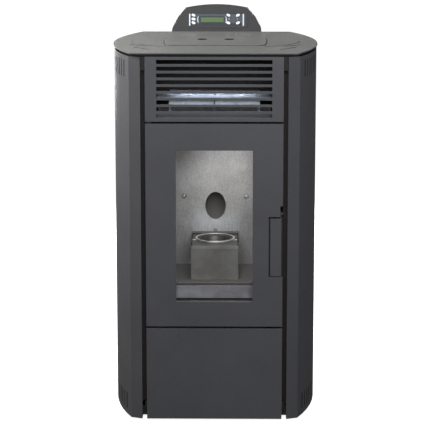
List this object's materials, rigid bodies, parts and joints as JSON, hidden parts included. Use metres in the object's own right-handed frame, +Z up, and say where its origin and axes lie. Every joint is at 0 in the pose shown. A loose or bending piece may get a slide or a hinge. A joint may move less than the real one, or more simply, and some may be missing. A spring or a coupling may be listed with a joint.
{
  "type": "pellet stove",
  "caption": "Free-standing pellet stove: curved steel sides, glazed door with latch handle, hot-air grille, hinged hopper lid, rear control housing, burn pot, auger and fans.",
  "frame": {"origin": "middle of the footprint on the floor", "axes": "+X to the stove's left-to-right as seen by a person facing it, +Y from the door to the wall, +Z up"},
  "size_m": [0.5188, 0.535, 1.004],
  "materials": {
    "body_paint": "matt anthracite stove enamel, fine texture",
    "plate_paint": "matt warm grey stove enamel",
    "dark_steel": "dark primed sheet steel",
    "firebox_steel": "bare brushed steel, slightly smoked",
    "zinc_steel": "galvanised sheet steel",
    "cast_iron": "dark cast iron",
    "door_glass": "clear ceramic stove glass",
    "gasket_rope": "braided glass-fibre rope",
    "console_plastic": "fine-grained dark grey moulding",
    "fascia_plastic": "satin blue-grey membrane",
    "lcd_glass": "green character display behind a clear window",
    "key_plastic": "pale satin keys",
    "black_plastic": "black moulded plastic",
    "circuit_board": "green circuit board",
    "motor_metal": "die-cast motor body"
  },
  "bodies": {
    "frame": {"base_tray": "dark_steel", "levelling_foot_1": "black_plastic", "levelling_foot_2": "black_plastic", "levelling_foot_3": "black_plastic", "levelling_foot_4": "black_plastic", "left_post": "dark_steel", "right_post": "dark_steel", "left_side_panel": "body_paint", "right_side_panel": "body_paint", "rear_panel": "body_paint", "lower_panel": "body_paint", "grille_panel": "body_paint", "door_hinge_top": "zinc_steel", "door_hinge_bottom": "zinc_steel", "top_plate": "plate_paint", "lid_hinge": "zinc_steel", "firebox_shell": "dark_steel", "rear_liner": "firebox_steel", "firebox_floor": "cast_iron", "ash_pan": "firebox_steel", "burn_pot_box": "firebox_steel", "igniter": "firebox_steel", "air_intake_pipe": "zinc_steel", "air_jacket": "zinc_steel", "hot_air_duct": "zinc_steel", "air_deflector": "zinc_steel", "convection_blower_housing": "zinc_steel", "exhaust_fan_housing": "zinc_steel", "exhaust_motor": "motor_metal", "flue_pipe": "zinc_steel", "auger_tube": "zinc_steel", "auger_motor": "motor_metal", "pellet_chute": "zinc_steel", "hopper": "zinc_steel", "control_housing": "console_plastic", "control_fascia": "fascia_plastic", "lcd_window": "lcd_glass", "display_board": "circuit_board", "mains_inlet": "black_plastic", "control_board": "circuit_board"},
    "door": {"door_skin": "body_paint", "door_glass": "door_glass", "door_frame": "cast_iron", "door_gasket": "gasket_rope"},
    "handle": {"door_handle": "body_paint", "latch_hook": "zinc_steel"},
    "lid": {"hopper_lid": "plate_paint"},
    "burn_pot": {"burn_pot": "cast_iron"},
    "auger": {"auger_screw": "firebox_steel"},
    "convection_wheel": {"convection_impeller": "dark_steel"},
    "exhaust_wheel": {"exhaust_impeller": "dark_steel"},
    "rocker": {"rocker_switch": "black_plastic"},
    "key_1": {"key_1": "key_plastic"},
    "key_2": {"key_2": "key_plastic"},
    "key_3": {"key_3": "key_plastic"},
    "key_4": {"key_4": "key_plastic"},
    "key_5": {"key_5": "key_plastic"},
    "key_6": {"key_6": "key_plastic"},
    "key_7": {"key_7": "key_plastic"}
  },
  "joints": [
    {"name": "door_hinge", "type": "hinge", "parent": "frame", "child": "door", "pos_m": [-0.16, -0.2535, 0.5], "axis": [0, 0, -1], "range_deg": [0, 105]},
    {"name": "handle_turn", "type": "hinge", "parent": "door", "child": "handle", "pos_m": [0.1648, -0.2535, 0.533], "axis": [-1, 0, 0], "range_deg": [0, 40]},
    {"name": "lid_hinge", "type": "hinge", "parent": "frame", "child": "lid", "pos_m": [0, 0.1107, 0.9369], "axis": [-1, 0, 0], "range_deg": [0, 80]},
    {"name": "burn_pot_lift", "type": "slide", "parent": "frame", "child": "burn_pot", "axis": [0, 0, 1], "range_m": [0, 0.08]},
    {"name": "auger_turn", "type": "hinge", "parent": "frame", "child": "auger", "pos_m": [0, 0.1425, 0.465], "axis": [0, -0.6428, 0.766], "continuous": true},
    {"name": "convection_wheel_turn", "type": "hinge", "parent": "frame", "child": "convection_wheel", "pos_m": [0, -0.0975, 0.112], "axis": [1, 0, 0], "continuous": true},
    {"name": "exhaust_wheel_turn", "type": "hinge", "parent": "frame", "child": "exhaust_wheel", "pos_m": [0.05, 0.0345, 0.292], "axis": [0, 1, 0], "continuous": true},
    {"name": "rocker_turn", "type": "hinge", "parent": "frame", "child": "rocker", "pos_m": [-0.135, 0.2198, 0.107], "axis": [1, 0, 0], "range_deg": [0, 12]},
    {"name": "key_1_press", "type": "slide", "parent": "frame", "child": "key_1", "axis": [0, 0.9903, -0.1392], "range_m": [0, 0.0012], "stiffness_N_per_m": 400},
    {"name": "key_2_press", "type": "slide", "parent": "frame", "child": "key_2", "axis": [0, 0.9903, -0.1392], "range_m": [0, 0.0012], "stiffness_N_per_m": 400},
    {"name": "key_3_press", "type": "slide", "parent": "frame", "child": "key_3", "axis": [0, 0.9903, -0.1392], "range_m": [0, 0.0012], "stiffness_N_per_m": 400},
    {"name": "key_4_press", "type": "slide", "parent": "frame", "child": "key_4", "axis": [0, 0.9903, -0.1392], "range_m": [0, 0.0012], "stiffness_N_per_m": 400},
    {"name": "key_5_press", "type": "slide", "parent": "frame", "child": "key_5", "axis": [0, 0.9903, -0.1392], "range_m": [0, 0.0012], "stiffness_N_per_m": 400},
    {"name": "key_6_press", "type": "slide", "parent": "frame", "child": "key_6", "axis": [0, 0.9903, -0.1392], "range_m": [0, 0.0012], "stiffness_N_per_m": 400},
    {"name": "key_7_press", "type": "slide", "parent": "frame", "child": "key_7", "axis": [0, 0.9903, -0.1392], "range_m": [0, 0.0012], "stiffness_N_per_m": 400}
  ]
}
